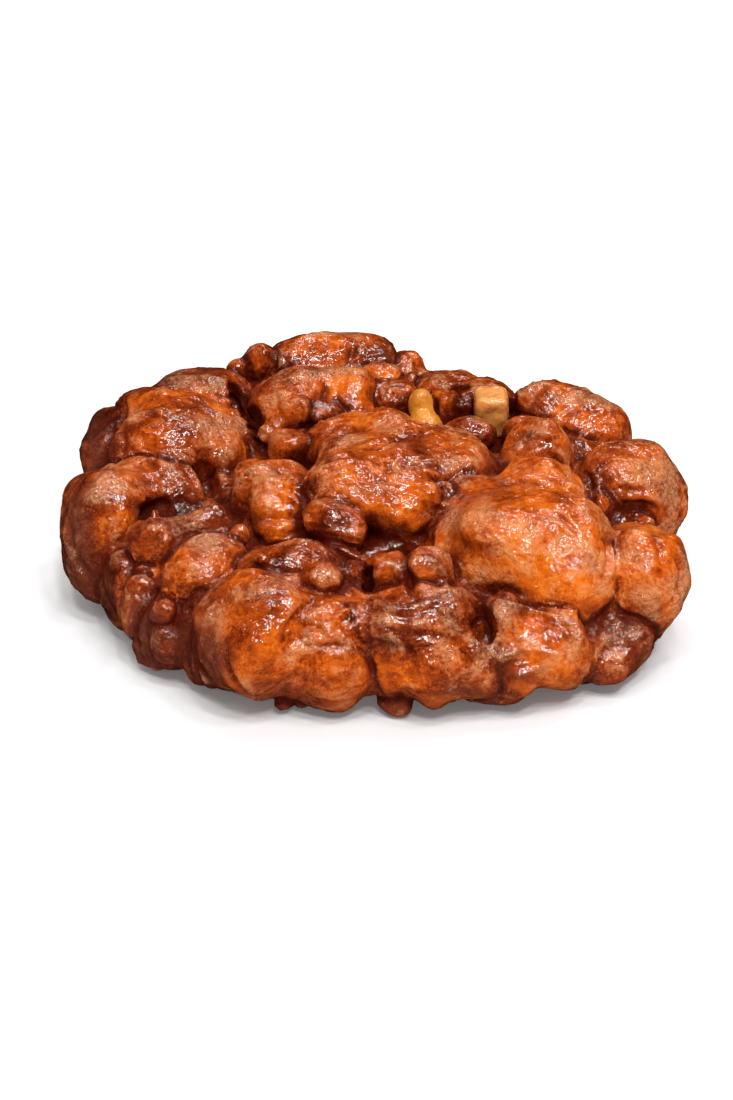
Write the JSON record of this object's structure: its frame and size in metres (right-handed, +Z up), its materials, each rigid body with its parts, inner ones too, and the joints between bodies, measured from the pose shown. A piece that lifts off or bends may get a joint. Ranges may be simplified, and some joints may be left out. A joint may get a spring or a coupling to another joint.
{
  "type": "apple fritter",
  "caption": "Round fried dough fritter with a deeply lobed, glazed crust and cut apple pieces showing near its back edge.",
  "frame": {"origin": "middle of the footprint's box, on the surface the fritter rests on", "axes": "+X across its longest side, +Z up, the pictured front faces -Y"},
  "size_m": [0.1406, 0.1288, 0.0381],
  "materials": {
    "glazed_crust": "amber to dark brown fried crust under a thin, clear to milky set glaze",
    "apple_yellow": "wet golden-yellow cooked apple",
    "apple_tan": "wet tan cooked apple, browned at its rim"
  },
  "bodies": {
    "root": {"dough": "glazed_crust", "apple_piece_1": "apple_yellow", "apple_piece_2": "apple_tan"}
  },
  "joints": []
}
